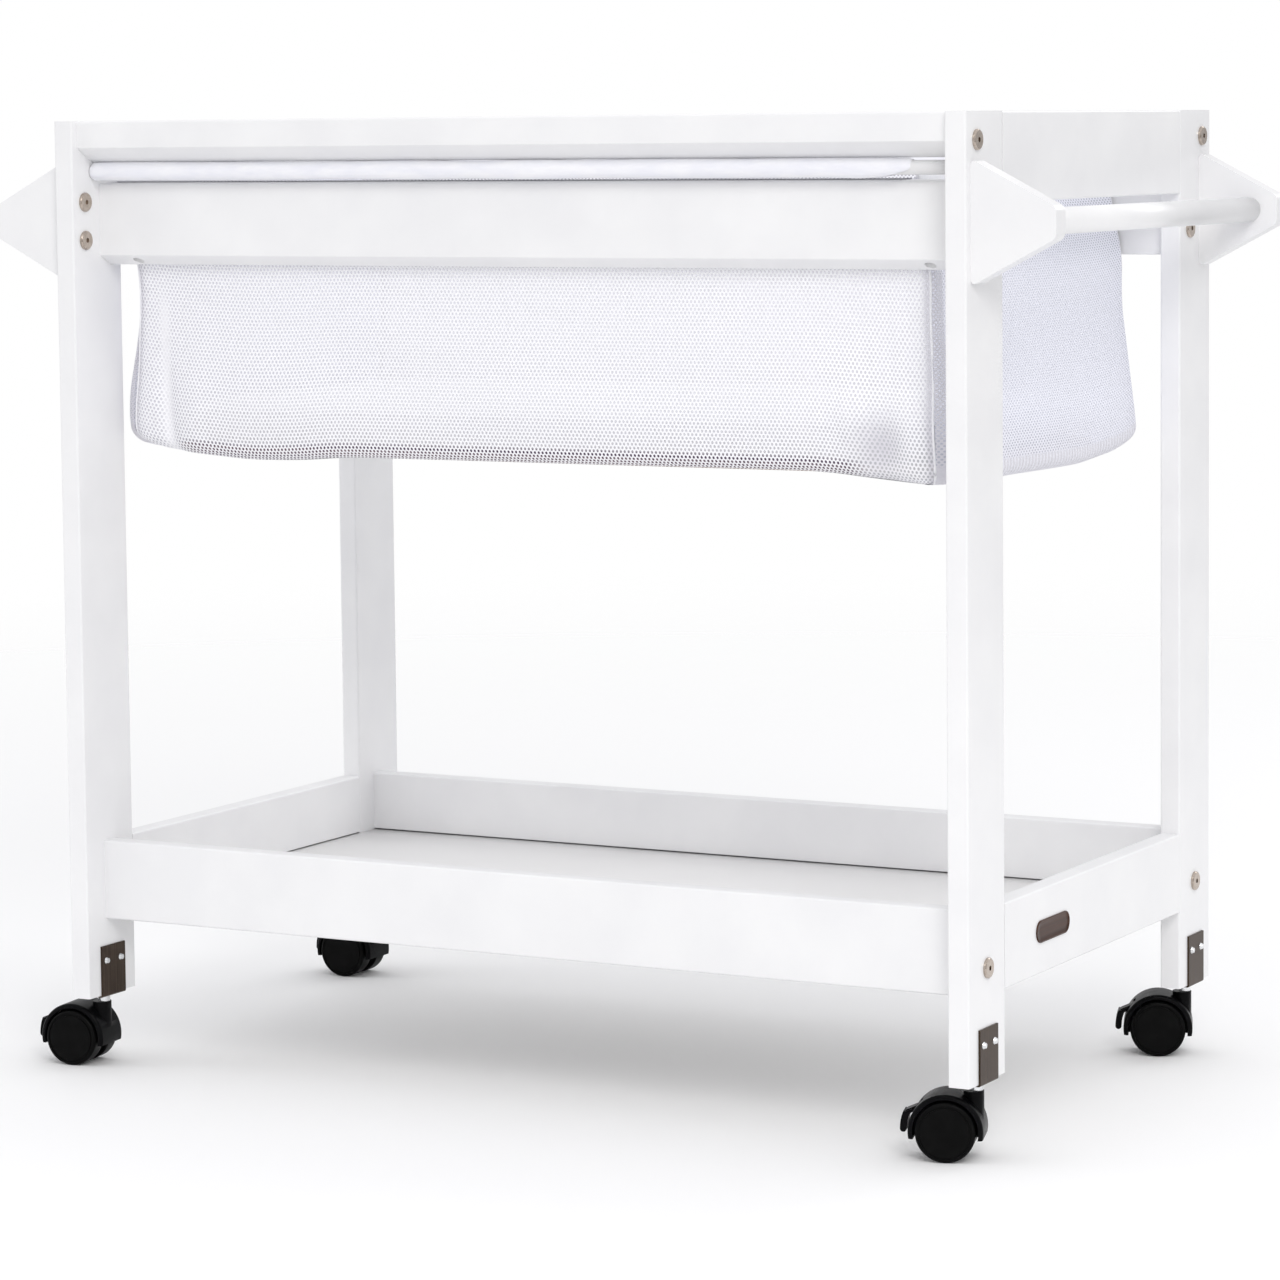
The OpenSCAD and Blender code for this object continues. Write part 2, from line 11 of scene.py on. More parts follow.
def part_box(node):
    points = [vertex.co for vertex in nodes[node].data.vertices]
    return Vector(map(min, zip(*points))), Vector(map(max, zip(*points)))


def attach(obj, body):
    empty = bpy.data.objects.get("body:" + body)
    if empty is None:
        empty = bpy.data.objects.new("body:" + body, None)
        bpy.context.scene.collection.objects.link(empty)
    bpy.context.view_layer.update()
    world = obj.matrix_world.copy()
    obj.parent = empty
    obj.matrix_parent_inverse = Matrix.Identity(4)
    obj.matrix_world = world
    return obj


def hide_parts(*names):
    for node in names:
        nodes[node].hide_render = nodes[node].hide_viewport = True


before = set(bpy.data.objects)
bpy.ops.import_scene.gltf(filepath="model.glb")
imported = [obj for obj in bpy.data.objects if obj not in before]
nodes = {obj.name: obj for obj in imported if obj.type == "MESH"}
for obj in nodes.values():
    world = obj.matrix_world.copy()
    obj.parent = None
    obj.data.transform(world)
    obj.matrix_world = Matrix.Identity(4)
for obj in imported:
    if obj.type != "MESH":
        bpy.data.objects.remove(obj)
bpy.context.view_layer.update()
scene = bpy.context.scene

# ---- Floor, light and camera ----
# A pale round floor that thins out to nothing far from the stand, an even white
# surround that is dimmer near the ground, one big soft key light and two weaker lights.

floor_radius = 6.0
floor_sides = 96
disc = bpy.data.meshes.new("pale_floor")
turn = np.linspace(0, 2 * np.pi, floor_sides, endpoint=False)
rim = np.stack([floor_radius * np.cos(turn), floor_radius * np.sin(turn), 0 * turn], 1)
disc.from_pydata(rim.tolist(), [], [list(range(floor_sides))])
floor = bpy.data.objects.new("pale_floor", disc)
scene.collection.objects.link(floor)

floor_paint = bpy.data.materials.new("pale_floor")
floor_paint.use_nodes = True
tree = floor_paint.node_tree
tree.nodes.clear()
out = tree.nodes.new("ShaderNodeOutputMaterial")
thin = tree.nodes.new("ShaderNodeMixShader")
gone = tree.nodes.new("ShaderNodeBsdfTransparent")
matt = tree.nodes.new("ShaderNodeBsdfPrincipled")
where = tree.nodes.new("ShaderNodeTexCoord")
far = tree.nodes.new("ShaderNodeVectorMath")
fade = tree.nodes.new("ShaderNodeMapRange")
far.operation = "LENGTH"
fade.interpolation_type = "SMOOTHSTEP"
fade.inputs["From Min"].default_value = 1.2
fade.inputs["From Max"].default_value = 4.5
matt.inputs["Base Color"].default_value = (0.94, 0.94, 0.94, 1)
matt.inputs["Roughness"].default_value = 0.7
matt.inputs["Specular IOR Level"].default_value = 0.2
tree.links.new(where.outputs["Object"], far.inputs[0])
tree.links.new(far.outputs["Value"], fade.inputs["Value"])
tree.links.new(fade.outputs["Result"], thin.inputs["Fac"])
tree.links.new(matt.outputs["BSDF"], thin.inputs[1])
tree.links.new(gone.outputs["BSDF"], thin.inputs[2])
tree.links.new(thin.outputs["Shader"], out.inputs["Surface"])
disc.materials.append(floor_paint)

scene.view_settings.view_transform = "Standard"
world = bpy.data.worlds.new("white_studio")
scene.world = world
world.use_nodes = True
tree = world.node_tree
tree.nodes.clear()
out = tree.nodes.new("ShaderNodeOutputWorld")
seen = tree.nodes.new("ShaderNodeBackground")
lit = tree.nodes.new("ShaderNodeBackground")
choose = tree.nodes.new("ShaderNodeMixShader")
ray = tree.nodes.new("ShaderNodeLightPath")
where = tree.nodes.new("ShaderNodeTexCoord")
parts = tree.nodes.new("ShaderNodeSeparateXYZ")
height = tree.nodes.new("ShaderNodeMapRange")
height.inputs["From Min"].default_value = -0.4
height.inputs["From Max"].default_value = 0.9
height.inputs["To Min"].default_value = 0.44
height.inputs["To Max"].default_value = 1.06
seen.inputs["Color"].default_value = (1, 1, 1, 1)
seen.inputs["Strength"].default_value = 1.0
lit.inputs["Color"].default_value = (0.985, 0.985, 1.0, 1)
tree.links.new(where.outputs["Generated"], parts.inputs[0])
tree.links.new(parts.outputs["Z"], height.inputs["Value"])
tree.links.new(height.outputs["Result"], lit.inputs["Strength"])
tree.links.new(ray.outputs["Is Camera Ray"], choose.inputs["Fac"])
tree.links.new(lit.outputs["Background"], choose.inputs[1])
tree.links.new(seen.outputs["Background"], choose.inputs[2])
tree.links.new(choose.outputs["Shader"], out.inputs["Surface"])

for name, place, aim, size, watts, colour in (
    ("key_light", (2.4, -3.0, 2.8), (0, 0, 0.45), 1.6, 52, (1.0, 0.985, 0.97)),
    ("fill_light", (-3.4, -1.6, 1.8), (0, 0, 0.45), 1.8, 10, (0.95, 0.97, 1.0)),
    ("back_light", (1.5, 3.2, 2.4), (0, 0, 0.5), 1.8, 12, (1.0, 1.0, 1.0)),
):
    lamp = bpy.data.lights.new(name, "AREA")
    lamp.shape = "DISK"
    lamp.size = size
    lamp.energy = watts
    lamp.color = colour
    holder = bpy.data.objects.new(name, lamp)
    scene.collection.objects.link(holder)
    holder.location = place
    holder.rotation_euler = (Vector(aim) - Vector(place)).to_track_quat("-Z", "Y").to_euler()

camera = bpy.data.objects.new("camera", bpy.data.cameras.new("camera"))
scene.collection.objects.link(camera)
camera.data.sensor_width = 36
camera.data.lens = 124.516
camera.data.shift_y = -0.1
camera.data.clip_end = 60
yaw, pitch, roll = 28.3577, -4.9493, -0.5786
camera.matrix_world = (
    Matrix.Translation((1.8895, -3.4998, 0.8434))
    @ Matrix.Rotation(math.radians(yaw), 4, "Z")
    @ Matrix.Rotation(math.radians(90 + pitch), 4, "X")
    @ Matrix.Rotation(math.radians(roll), 4, "Z")
)
scene.camera = camera

# ---- Lacquered boards ----
# Legs, rails, end aprons, tray sides, handle brackets and bars are pine and board,
# sanded round at the arrises and sprayed with white satin lacquer.


def finish(name, colour, rough, metal=0.0, coat=0.0, coat_rough=0.1, specular=0.5, sheen=0.0):
    """A Principled finish with its plain values set on the shader's own sockets."""
    made = bpy.data.materials.new(name)
    made.use_nodes = True
    shader = made.node_tree.nodes["Principled BSDF"]
    for socket, value in (
        ("Base Color", (*colour, 1)),
        ("Roughness", rough),
        ("Metallic", metal),
        ("Coat Weight", coat),
        ("Coat Roughness", coat_rough),
        ("Specular IOR Level", specular),
        ("Sheen Weight", sheen),
    ):
        shader.inputs[socket].default_value = value
    return made


def vary(made, scale, shades, rough, stretch=(1, 1, 1), relief=0.0, depth=0.0005, fine=1.0):
    """Noise on Object coordinates, stretched along the grain, moves the colour between two
    shades and the roughness between two values, and a finer noise lifts the surface."""
    tree = made.node_tree
    shader = tree.nodes["Principled BSDF"]
    where = tree.nodes.new("ShaderNodeTexCoord")
    place = tree.nodes.new("ShaderNodeMapping")
    place.inputs["Scale"].default_value = stretch
    cloud = tree.nodes.new("ShaderNodeTexNoise")
    cloud.inputs["Scale"].default_value = scale
    cloud.inputs["Detail"].default_value = 5
    tint = tree.nodes.new("ShaderNodeValToRGB")
    for stop, at, shade in zip(tint.color_ramp.elements, (0.35, 0.68), shades):
        stop.position = at
        stop.color = (*shade, 1)
    dull = tree.nodes.new("ShaderNodeMapRange")
    dull.inputs["From Min"].default_value = 0.3
    dull.inputs["From Max"].default_value = 0.7
    dull.inputs["To Min"].default_value, dull.inputs["To Max"].default_value = rough
    tree.links.new(where.outputs["Object"], place.inputs["Vector"])
    tree.links.new(place.outputs["Vector"], cloud.inputs["Vector"])
    tree.links.new(cloud.outputs["Fac"], tint.inputs["Fac"])
    tree.links.new(tint.outputs["Color"], shader.inputs["Base Color"])
    tree.links.new(cloud.outputs["Fac"], dull.inputs["Value"])
    tree.links.new(dull.outputs["Result"], shader.inputs["Roughness"])
    if relief:
        grain = tree.nodes.new("ShaderNodeTexNoise")
        grain.inputs["Scale"].default_value = scale * fine
        grain.inputs["Detail"].default_value = 3
        lift = tree.nodes.new("ShaderNodeBump")
        lift.inputs["Strength"].default_value = relief
        lift.inputs["Distance"].default_value = depth
        tree.links.new(place.outputs["Vector"], grain.inputs["Vector"])
        tree.links.new(grain.outputs["Fac"], lift.inputs["Height"])
        tree.links.new(lift.outputs["Normal"], shader.inputs["Normal"])
    return made


def dress(names, made, ease=0.0, limit=35):
    """Gives CAD pieces a finish, joins their loose triangles and rounds their sharp edges."""
    for name in names:
        piece = nodes[name]
        piece.data.materials.clear()
        piece.data.materials.append(made)
        piece.data.polygons.foreach_set("material_index", [0] * len(piece.data.polygons))
        if piece.data.has_custom_normals:
            with bpy.context.temp_override(object=piece, active_object=piece):
                bpy.ops.mesh.customdata_custom_splitnormals_clear()
        piece.data.polygons.foreach_set("use_smooth", [True] * len(piece.data.polygons))
        weld = piece.modifiers.new("joined", "WELD")
        weld.merge_threshold = 0.00002
        if ease:
            round_off = piece.modifiers.new("eased_edges", "BEVEL")
            round_off.width = ease
            round_off.segments = 3
            round_off.limit_method = "ANGLE"
            round_off.angle_limit = math.radians(limit)
            round_off.harden_normals = True
            round_off.use_clamp_overlap = True


corners = [side + "_" + end for side in ("left", "right") for end in ("front", "back")]
white_satin = vary(
    finish("white_satin_lacquer", (0.86, 0.86, 0.87), 0.34, coat=0.25, coat_rough=0.12),
    14, ((0.845, 0.845, 0.855), (0.885, 0.885, 0.89)), (0.28, 0.42),
    relief=0.05, depth=0.0004, fine=24,
)
boards = ["leg_" + c for c in corners]
for part in ("top_rail", "lower_rail", "tray_rail"):
    boards += [part + "_front", part + "_back"]
for part in ("end_apron", "tray_end"):
    boards += [part + "_left", part + "_right"]
dress(boards, white_satin, ease=0.0012)
dress(["handle_bracket_" + c for c in corners], white_satin, ease=0.0018)
dress(["handle_bar_left", "handle_bar_right"], white_satin)

# ---- Tray floor ----
# A thin melamine-faced panel that slides into grooves in the tray's four sides,
# greyer and smoother than the lacquer.

tray_grey = vary(
    finish("tray_melamine", (0.86, 0.855, 0.85), 0.5, specular=0.3),
    3, ((0.85, 0.845, 0.84), (0.87, 0.865, 0.86)), (0.48, 0.54),
)
dress(["tray_floor"], tray_grey)

# ---- Furniture bolts, barrel nuts and dowels ----
# Flat nickel-plated bolt heads with a hex socket pull the boards onto cross nuts;
# beech dowels keep the boards from turning. Only the heads show.

nickel = vary(
    finish("nickel_plate", (0.50, 0.43, 0.37), 0.2, metal=1.0),
    300, ((0.44, 0.375, 0.32), (0.56, 0.49, 0.43)), (0.16, 0.26),
    relief=0.04, depth=0.0002, fine=4,
)
dress(["connector_bolts", "barrel_nuts"], nickel, ease=0.0006)
beech = vary(
    finish("beech_dowel", (0.60, 0.42, 0.26), 0.6),
    40, ((0.54, 0.37, 0.22), (0.66, 0.48, 0.30)), (0.5, 0.7),
    stretch=(0.3, 1, 4), relief=0.2, fine=5,
)
dress(["wood_dowels"], beech)

# ---- Badge ----
# A small stamped metal plate with a raised rim and a plain brushed field, glued to
# the tray's right end. It carries nothing.

plate_low, plate_high = (np.array(c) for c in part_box("badge_plate"))
plate_mid = (plate_low + plate_high) / 2
plate_len, plate_tall = (plate_high - plate_low)[1:]


def ring_faces(rings, around):
    """Quads between neighbouring closed rings of points, and one flat face over each end ring."""
    i, j = np.meshgrid(np.arange(rings - 1) * around, np.arange(around), indexing="ij")
    k = (j + 1) % around
    quads = np.stack([i + j, i + k, i + around + k, i + around + j], -1).reshape(-1, 4)
    first = list(range(around))[::-1]
    last = list(range((rings - 1) * around, rings * around))
    return quads.tolist() + [first, last]


def piece_from(name, points, faces, made):
    """A smooth mesh piece at the origin from an array of points and a list of faces."""
    mesh = bpy.data.meshes.new(name)
    mesh.from_pydata(points.tolist(), [], faces)
    mesh.polygons.foreach_set("use_smooth", [True] * len(mesh.polygons))
    mesh.materials.append(made)
    mesh.validate()
    mesh.update()
    piece = bpy.data.objects.new(name, mesh)
    scene.collection.objects.link(piece)
    return piece


def stadium_plate(count=96):
    """Rings of a stadium, each the middle outline drawn in by an inset and lifted to a height:
    y = straight part + (r - inset) cos t, z = (r - inset) sin t, x = height."""
    inset = np.array([0.0, 0.0, 0.0002, 0.0009, 0.0012, 0.0014, 0.006])
    lift = np.array([0.0, 0.0009, 0.0012, 0.0012, 0.0009, 0.00075, 0.00075])
    t = np.linspace(0, 2 * np.pi, count, endpoint=False)
    straight = (plate_len - plate_tall) / 2 * np.sign(np.cos(t) + 1e-9)
    r = plate_tall / 2 - inset[:, None]
    y = straight + r * np.cos(t)
    z = r * np.sin(t)
    x = plate_low[0] - plate_mid[0] + lift[:, None] + 0 * t
    return np.stack([x, y, z], -1).reshape(-1, 3) + plate_mid, len(inset), count


brushed = vary(
    finish("brushed_dark_badge", (0.072, 0.037, 0.027), 0.36, metal=1.0),
    220, ((0.052, 0.026, 0.018), (0.10, 0.054, 0.041)), (0.28, 0.44),
    stretch=(1, 0.05, 2.5), relief=0.15, depth=0.0002, fine=2,
)
points, rings, around = stadium_plate()
badge = piece_from("badge", points, ring_faces(rings, around), brushed)
badge.modifiers.new("crisp_rim", "EDGE_SPLIT").split_angle = math.radians(40)
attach(badge, "stand")
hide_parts("badge_plate")

# ---- Hanging rods ----
# Two white painted rods between the legs carry the basket's sleeves; the bare end
# of each shows past the sleeve on the right.

rod_white = vary(
    finish("rod_paint", (0.84, 0.84, 0.845), 0.3, coat=0.3),
    20, ((0.82, 0.82, 0.83), (0.87, 0.87, 0.875)), (0.24, 0.36), relief=0.03, fine=30,
)
dress(["rod_front", "rod_back"], rod_white)

# ---- Mesh basket ----
# An open box sewn from knitted spacer mesh: two long sides that run over the lower
# rails into sleeves on the rods, two end panels and a bottom that sags at its corners.

# Places worked out from the rods, rails and base board. The cloth keeps clear of the end aprons
# and of the rails' inner faces, and hangs free below the lower rails' sloped undersides.
middle_y = sum(c[1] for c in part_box("mesh_basket")) / 2
rod_low, rod_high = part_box("rod_front")
rod_out = middle_y - (rod_low[1] + rod_high[1]) / 2
rod_level = (rod_low[2] + rod_high[2]) / 2
rod_r = (rod_high[2] - rod_low[2]) / 2
rail_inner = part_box("lower_rail_front")[1]
board_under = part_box("base_board")[0][2]
clear = 0.0008
half_deep = middle_y - rail_inner[1] - clear
end_stop = rail_inner[0] - clear
rail_top = rail_inner[2] + 0.0013
free_below = 0.722
rail_edge_r = 0.003
wrap_r = 0.012
end_heights = [0.56, 0.60, 0.69, 0.73, 0.802]
long_sides = ("front", "back")


def level(at, heights, values):
    """Straight-line values at heights, rounded off by averaging five neighbours 6 mm apart."""
    spread = np.array([-0.012, -0.006, 0.0, 0.006, 0.012])
    return np.mean([np.interp(at + d, heights, values) for d in spread], axis=0)


def corner_x(side, back, z):
    """How far out the basket's corner stands at a height: nearly upright, drawn along the rod at
    the top and spreading towards the bottom."""
    if side < 0:
        low = -0.408 if back else -0.4125
        return level(z, [0.555, 0.575, 0.690, 0.726, 0.802], [low + 0.003, low, -0.3995, -0.4012, -0.4215])
    low = 0.4045 if back else 0.3925
    return level(z, [0.545, 0.575, 0.684, 0.726, 0.802], [low, low - 0.0015, 0.386, 0.386, 0.3695])


# The lowest line of each side panel sags between its corners: stations along it, and heights.
edge_stations = {
    "front": (
        [-1, -0.955, -0.90, -0.70, -0.58, -0.45, 0.75, 0.86, 1],
        [0.5690, 0.5640, 0.5590, 0.5525, 0.5535, 0.5575, 0.5578, 0.5535, 0.5490],
    ),
    "right": ([-1, -0.52, 0.39, 0.72, 0.86, 1], [0.5490, 0.5478, 0.5478, 0.5530, 0.5580, 0.5650]),
    "back": ([-1, -0.93, -0.72, 0.70, 0.9, 1], [0.5630, 0.5580, 0.5560, 0.5570, 0.5590, 0.5650]),
    "left": ([-1, -0.8, -0.45, 0.45, 0.8, 1], [0.5690, 0.5590, 0.5530, 0.5530, 0.5580, 0.5630]),
}


def edge_height(panel, s):
    """Height of a panel's lowest line along it, from -1 to 1, smoothed over a twentieth of it."""
    at, values = edge_stations[panel]
    spread = np.linspace(-0.05, 0.05, 7)
    return np.mean([np.interp(np.clip(s + d, -1, 1), at, values) for d in spread], axis=0)


def hill(s, z, at, height, wide, tall):
    """A Gaussian hill of height 1 on a panel: exp(-((s - at) / wide)^2 - ((z - height) / tall)^2)."""
    return np.exp(-(((s - at) / wide) ** 2) - ((z - height) / tall) ** 2)


def panel_rows(panel, s, down=90):
    """Heights of a side panel's rows and how far each is drawn in: straight down, a quarter turn
    of radius wrap_r, and a short run in under the base board. The last array is the corner radius."""
    low = edge_height(panel, s)
    top = rail_top - rail_edge_r if panel in long_sides else rail_top
    fall = np.linspace(0, 1, down)[:, None]
    quarter = np.linspace(0, 1, 14)[1:, None] * np.pi / 2
    run = np.linspace(0, 1, 6)[1:, None]
    hanging = top + (low + wrap_r - top) * fall
    turning = low + wrap_r * (1 - np.sin(quarter))
    lying = low + (board_under - 0.0011 - low) * 0.25 * run**2
    z = np.concatenate([hanging, turning, lying])
    inset = np.concatenate([0 * fall, wrap_r * (1 - np.cos(quarter)), wrap_r + 0.014 * run]) + 0 * s
    return z, inset, level(z, [0.56, 0.60, 0.68, 0.80], [0.024, 0.020, 0.012, 0.008])


def round_corner(s, flat_half, radius):
    """A panel's plan over s from -1 to 1: straight as far as flat_half, then turning on the corner
    radius. Gives the distance along the straight, the angle turned (up to pi / 4) and the side."""
    q = s * (flat_half + radius * np.pi / 4)
    turned = np.clip((np.abs(q) - flat_half) / radius, 0, None)
    straight = np.where(turned > 0, np.sign(q) * (flat_half + radius * np.sin(turned)), q)
    return straight, turned, np.sign(q)


def long_panel(panel, across=220):
    """The front or back panel as x, y, z over s (-1 to 1 along it) and rows from its top edge down.
    Its first eight rows come from the rod over the lower rail's rounded edge. Where the cloth hangs
    free below the rail, waves and soft folds are pushed along its outward direction."""
    s = np.linspace(-1, 1, across)[None, :]
    z, inset, radius = panel_rows(panel, s)
    back = panel == "back"
    left, right = corner_x(-1, back, z), corner_x(1, back, z)
    straight, turned, end = round_corner(s, (right - left) / 2 - radius, radius)
    x = (left + right) / 2 + straight - end * inset * np.sin(turned)
    waves = (
        0.0030 * np.exp(-(((z - 0.600) / 0.030) ** 2))
        + 0.0016 * np.sin(9.0 * s + 2.0 + 30 * z) * np.exp(-(((z - 0.64) / 0.05) ** 2))
    )
    folds = (
        -0.0095 * hill(s, z, 0.885, 0.580, 0.042, 0.024)
        + 0.0045 * hill(s, z, 0.815, 0.606, 0.035, 0.022)
        - 0.0050 * hill(s + (z - 0.6) * 0.35, z, -0.905, 0.600, 0.020, 0.045)
        + 0.0030 * hill(s, z, -0.83, 0.59, 0.04, 0.05)
        + 0.0016 * hill(s, z, 0.93, 0.65, 0.018, 0.06)
    )
    hang = np.clip((free_below - z) / 0.05, 0, 1)
    out = half_deep - radius * (1 - np.cos(turned)) - inset + hang * (waves + folds)
    over = np.linspace(0, 1, 5)
    reach = (rod_out - half_deep - 0.001) * np.concatenate([1 - over, np.zeros(3)])[:, None]
    bend = np.concatenate([np.zeros(5), over[1:4]])[:, None] * np.pi / 2
    over_y = half_deep + reach + rail_edge_r * (1 - np.sin(bend)) + 0 * s
    over_z = rail_top - rail_edge_r * (1 - np.cos(bend)) + 0 * s
    x = np.concatenate([np.repeat(x[:1], len(over_z), 0), x])
    y = (1 if back else -1) * np.concatenate([over_y, out])
    return x, y + middle_y, np.concatenate([over_z, z])


def end_panel(panel, across=220):
    """The left or right panel as x, y, z over s (-1 to 1 from front to back) and rows from its top
    edge down. It sways between its corners, waves below the rail, is pushed out beside the front
    corner, and never stands past the end apron's inner face."""
    s = np.linspace(-1, 1, across)[None, :]
    z, inset, radius = panel_rows(panel, s)
    side = 1 if panel == "right" else -1
    sway = [0.004, 0.003, -0.001, -0.002, -0.014] if side > 0 else [0.002, 0.002, -0.001, -0.004, -0.018]
    pushed = 0.002 if side > 0 else 0.0125
    near, away = corner_x(side, False, z), corner_x(side, True, z)
    straight, turned, end = round_corner(s, half_deep - radius, radius)
    y = straight - end * inset * np.sin(turned)
    x = np.abs(near + (away - near) * (s + 1) / 2) - radius * (1 - np.cos(turned)) - inset
    x = x + level(z, end_heights, sway) * (1 - s**4)
    x = x + 0.0014 * np.sin(7 * s + 24 * z) * np.clip((0.70 - z) / 0.08, 0, 1) * (1 - s**2)
    x = side * np.minimum(x + pushed * hill(s, z, -0.90, 0.605, 0.10, 0.055), end_stop)
    return x, y + middle_y, z


def knit_and_shade_marks(panel, z):
    """Three fields from 0 to 1 on a panel's points, kept as a colour: painted shade in the holes (along
    the bend under the base board), painted shade on the threads (in bands at the corners, in the fold,
    and stronger towards the bottom of the end panels), and how closed the knit is (a selvedge strip on
    the long sides, a ribbed hem on the ends)."""
    s = np.linspace(-1, 1, z.shape[1])[None, :] + 0 * z
    low = edge_height(panel, s)
    if panel in long_sides:
        # Painted shade in the holes along the bend under the base board.
        painted_hole_shade = np.clip((low + 0.0145 - z) / 0.003, 0, 1) * np.clip((0.87 - np.abs(s + 0.02)) / 0.05, 0, 1)
        # Painted shade on the threads: a band at each corner and the fold near the right end.
        painted_thread_shade = np.clip((np.abs(s) - 0.98) / 0.008, 0, 1) * 0.9
        painted_thread_shade = painted_thread_shade + hill(s, z, 0.875, 0.578, 0.048, 0.024)
        strip = np.exp(-(((s + 0.905 + 0.25 * (z - 0.6)) / 0.016) ** 4))
        closed = 0.75 * strip * np.clip((0.715 - z) / 0.03, 0, 1)
    else:
        painted_hole_shade = 0 * z
        # Painted shade on the threads: a band by the front corner, stronger towards the bottom.
        painted_thread_shade = np.clip((-0.90 - s) / 0.02, 0, 1) + 0.4 * np.clip((0.60 - z) / 0.04, 0, 1)
        closed = np.clip((low + 0.017 - z) / 0.002, 0, 1)
    return np.clip(np.stack([painted_hole_shade, painted_thread_shade, closed, 1 + 0 * z], -1), 0, 1)


def run_along(path):
    """Distance along a path from its first point to each of its points."""
    return np.concatenate([[0], np.cumsum(np.linalg.norm(np.diff(path, axis=0), axis=1))])


def sheet_mesh(name, x, y, z, made, outward, marks=None):
    """A grid of points as one open sheet whose UV map, called cut, is the distance in metres
    along its middle row and down its middle column, so that the knit keeps its real size."""
    rows, cols = x.shape
    grid = np.stack([x, y, z], -1)
    points = grid.reshape(-1, 3)
    i, j = np.meshgrid(np.arange(rows - 1), np.arange(cols - 1), indexing="ij")
    a = (i * cols + j).ravel()
    faces = np.stack([a, a + cols, a + cols + 1, a + 1], -1)
    quad = points[faces]
    normal = np.cross(quad[:, 2] - quad[:, 0], quad[:, 3] - quad[:, 1])
    if (normal * outward(quad.mean(1))).sum() < 0:
        faces = faces[:, ::-1]
    piece = piece_from(name, points, faces.tolist(), made)
    along = run_along(grid[rows // 2])
    down = run_along(grid[:, cols // 2])
    cut = np.stack(np.broadcast_arrays(along[None, :], down[:, None]), -1).reshape(-1, 2)
    layer = piece.data.uv_layers.new(name="cut")
    corner_of = np.zeros(len(piece.data.loops), np.int32)
    piece.data.loops.foreach_get("vertex_index", corner_of)
    layer.data.foreach_set("uv", cut[corner_of].astype(np.float32).ravel())
    if marks is not None:
        # The knit attribute carries the painted shade fields beside the closed-knit field.
        knit = piece.data.color_attributes.new("knit", "FLOAT_COLOR", "POINT")
        knit.data.foreach_set("color", marks.astype(np.float32).ravel())
    return piece


